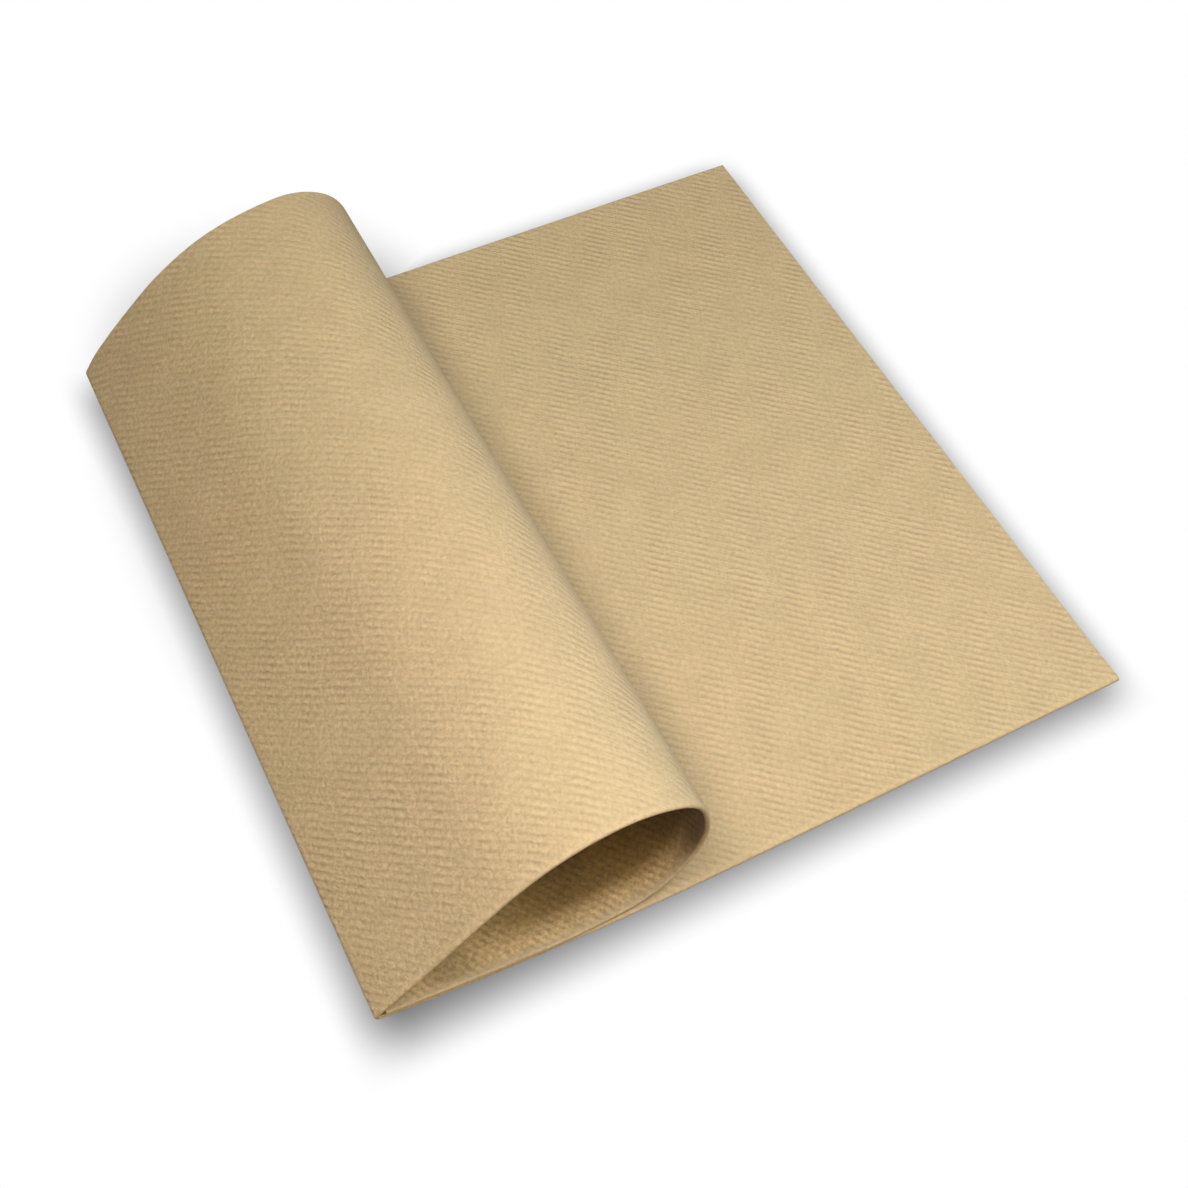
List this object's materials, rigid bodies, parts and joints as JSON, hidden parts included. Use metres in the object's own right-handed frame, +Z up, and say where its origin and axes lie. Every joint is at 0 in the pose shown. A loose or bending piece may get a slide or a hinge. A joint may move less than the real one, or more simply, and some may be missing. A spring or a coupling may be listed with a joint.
{
  "type": "paper napkin",
  "caption": "Brown embossed paper napkin folded in quarters, with its upper layers rolled over and tucked back under themselves as an open loop",
  "frame": {"origin": "centre of the folded square, on the surface it lies on", "axes": "+X from the crease to the open edges, +Y from the closed front fold to the open rear edge, +Z up"},
  "size_m": [0.2, 0.2, 0.0495],
  "materials": {
    "paper": "matt unbleached tissue, embossed all over with fine diagonal ribs, soft and fibrous"
  },
  "bodies": {
    "root": {"folded_napkin": "paper"}
  },
  "joints": []
}
